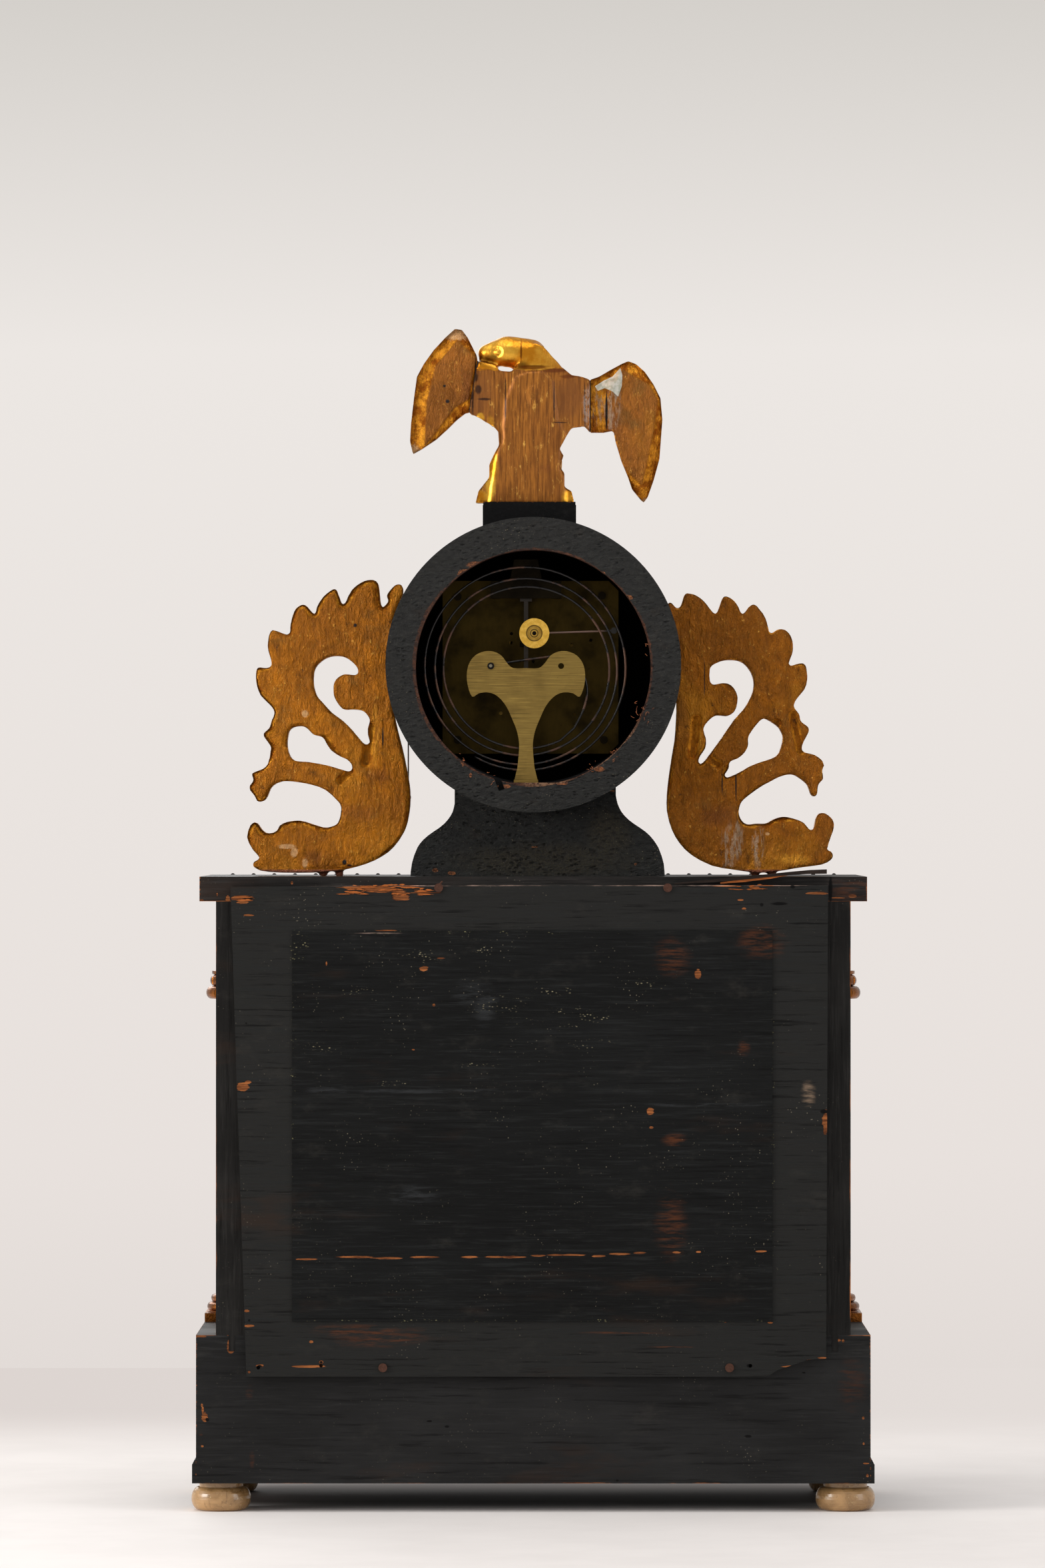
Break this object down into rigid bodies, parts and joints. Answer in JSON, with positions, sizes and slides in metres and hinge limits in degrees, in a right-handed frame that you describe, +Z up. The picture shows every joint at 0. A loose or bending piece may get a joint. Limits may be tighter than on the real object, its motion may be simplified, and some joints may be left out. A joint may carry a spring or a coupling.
{
  "type": "portico clock",
  "caption": "Portico clock: ebonised case on bun feet, columns in front, drum with striking movement, coiled gong and pendulum, hinged bezel, carved side scrolls and eagle",
  "frame": {"origin": "on the table, under the middle of the clock", "axes": "+Z up, the dial faces -Y, the back faces +Y, +X is to the right of someone facing the dial"},
  "size_m": [0.345, 0.1512, 0.599],
  "materials": {
    "ebonised_wood": "ebonised softwood, worn at the edges",
    "raw_wood": "unpainted softwood, darkened",
    "alabaster": "polished mottled alabaster",
    "column_stone": "polished pale alabaster",
    "gilt_wood": "gilded carved wood, ochre wash behind",
    "mirror": "silvered mirror glass",
    "glass": "clear domed glass",
    "iron": "blackened iron nails",
    "dark_studs": "small dark turned studs",
    "brass": "lacquered brass",
    "aged_brass": "dark aged brass",
    "brushed_brass": "matte greenish brass with horizontal brushing",
    "bright_brass": "polished brass with steel parts",
    "steel": "cut steel",
    "gong_steel": "dark oxidised steel wire with rust",
    "enamel": "white fired enamel",
    "blued_steel": "blued steel",
    "cord": "thin twisted linen cord"
  },
  "bodies": {
    "case": {"foot_back_left": "alabaster", "foot_back_right": "alabaster", "foot_front_left": "alabaster", "foot_front_right": "alabaster", "base_boards": "ebonised_wood", "base_top_board": "ebonised_wood", "base_moulding": "ebonised_wood", "case_side_left": "ebonised_wood", "case_side_right": "ebonised_wood", "mirror_board": "raw_wood", "mirror_glass": "mirror", "mirror_frame": "gilt_wood", "back_panel": "ebonised_wood", "panel_nails": "iron", "cornice_board": "ebonised_wood", "cornice_beads": "dark_studs", "frieze": "ebonised_wood", "column_left": "column_stone", "column_right": "column_stone", "column_bases": "gilt_wood", "capitals": "gilt_wood", "neck_boards": "ebonised_wood", "neck_sides": "ebonised_wood", "drum_hoop": "ebonised_wood", "drum_back_ring": "ebonised_wood", "drum_front_ring": "ebonised_wood", "bezel_hinge": "brass", "dial_plate": "brass", "dial": "enamel", "front_plate": "brass", "back_plate": "aged_brass", "plate_pillars": "brass", "back_cock": "brass", "gong": "gong_steel", "gong_stand": "brushed_brass", "eagle_block": "ebonised_wood", "eagle_body": "gilt_wood", "eagle_wing_left": "gilt_wood", "eagle_wing_right": "gilt_wood", "scroll_left": "gilt_wood", "scroll_right": "gilt_wood"},
    "door": {"bezel": "brass", "bezel_glass": "glass"},
    "minute": {"centre_wheel": "brass", "minute_hand": "blued_steel"},
    "hour": {"hour_wheel": "brass", "hour_hand": "blued_steel"},
    "minute_wheel": {"minute_wheel": "brass"},
    "going_barrel": {"going_barrel": "brass"},
    "going_arbor": {"going_arbor": "steel"},
    "third": {"third_wheel": "brass"},
    "escape": {"escape_wheel": "brass"},
    "pendulum": {"pendulum": "bright_brass"},
    "anchor": {"anchor": "steel"},
    "strike_barrel": {"strike_barrel": "brass"},
    "strike_arbor": {"strike_arbor": "steel"},
    "pin_wheel": {"pin_wheel": "brass"},
    "hammer": {"hammer": "bright_brass"},
    "repeat": {"repeat_cord": "cord", "cord_bead": "raw_wood"}
  },
  "joints": [
    {"name": "door_hinge", "type": "hinge", "parent": "case", "child": "door", "pos_m": [0.0668, -0.0475, 0.4288], "axis": [0, 0, 1], "range_deg": [0, 110]},
    {"name": "minute_turn", "type": "hinge", "parent": "case", "child": "minute", "pos_m": [0, 0, 0.4288], "axis": [0, 1, 0], "continuous": true},
    {"name": "hour_turn", "type": "hinge", "parent": "case", "child": "hour", "pos_m": [0, 0, 0.4288], "axis": [0, 1, 0], "continuous": true},
    {"name": "minute_wheel_turn", "type": "hinge", "parent": "case", "child": "minute_wheel", "pos_m": [0, 0, 0.4408], "axis": [0, 1, 0], "continuous": true},
    {"name": "going_barrel_turn", "type": "hinge", "parent": "case", "child": "going_barrel", "pos_m": [0.02, 0, 0.41963], "axis": [0, 1, 0], "continuous": true},
    {"name": "going_winding", "type": "hinge", "parent": "case", "child": "going_arbor", "pos_m": [0.02, 0, 0.41963], "axis": [0, 1, 0], "continuous": true},
    {"name": "third_turn", "type": "hinge", "parent": "case", "child": "third", "pos_m": [0.01112, 0, 0.44296], "axis": [0, 1, 0], "continuous": true},
    {"name": "escape_turn", "type": "hinge", "parent": "case", "child": "escape", "pos_m": [0.0037, 0, 0.4553], "axis": [0, 1, 0], "continuous": true},
    {"name": "pendulum_swing", "type": "hinge", "parent": "case", "child": "pendulum", "pos_m": [0.0037, 0, 0.4778], "axis": [0, 1, 0], "range_deg": [-4, 4]},
    {"name": "anchor_rock", "type": "hinge", "parent": "case", "child": "anchor", "pos_m": [0.0037, 0, 0.4673], "axis": [0, 1, 0], "range_deg": [-5.5, 5.5]},
    {"name": "strike_barrel_turn", "type": "hinge", "parent": "case", "child": "strike_barrel", "pos_m": [-0.02, 0, 0.41963], "axis": [0, 1, 0], "continuous": true},
    {"name": "strike_winding", "type": "hinge", "parent": "case", "child": "strike_arbor", "pos_m": [-0.02, 0, 0.41963], "axis": [0, 1, 0], "continuous": true},
    {"name": "pin_wheel_turn", "type": "hinge", "parent": "case", "child": "pin_wheel", "pos_m": [-0.0293, 0, 0.43957], "axis": [0, 1, 0], "continuous": true},
    {"name": "hammer_strike", "type": "hinge", "parent": "case", "child": "hammer", "pos_m": [-0.0409, 0, 0.4441], "axis": [0, 1, 0], "range_deg": [-12, 6]},
    {"name": "repeat_pull", "type": "slide", "parent": "case", "child": "repeat", "axis": [0, 0, -1], "range_m": [0, 0.01], "stiffness_N_per_m": 20}
  ],
  "couplings": [
    {"joint": "hour_turn", "follows": "minute_turn", "ratio": 0.083333},
    {"joint": "minute_wheel_turn", "follows": "minute_turn", "ratio": -0.33333},
    {"joint": "going_barrel_turn", "follows": "minute_turn", "ratio": -0.15789},
    {"joint": "third_turn", "follows": "minute_turn", "ratio": -5},
    {"joint": "escape_turn", "follows": "minute_turn", "ratio": 25},
    {"joint": "anchor_rock", "follows": "pendulum_swing", "ratio": 1.35},
    {"joint": "pin_wheel_turn", "follows": "strike_barrel_turn", "ratio": -6.3333}
  ]
}
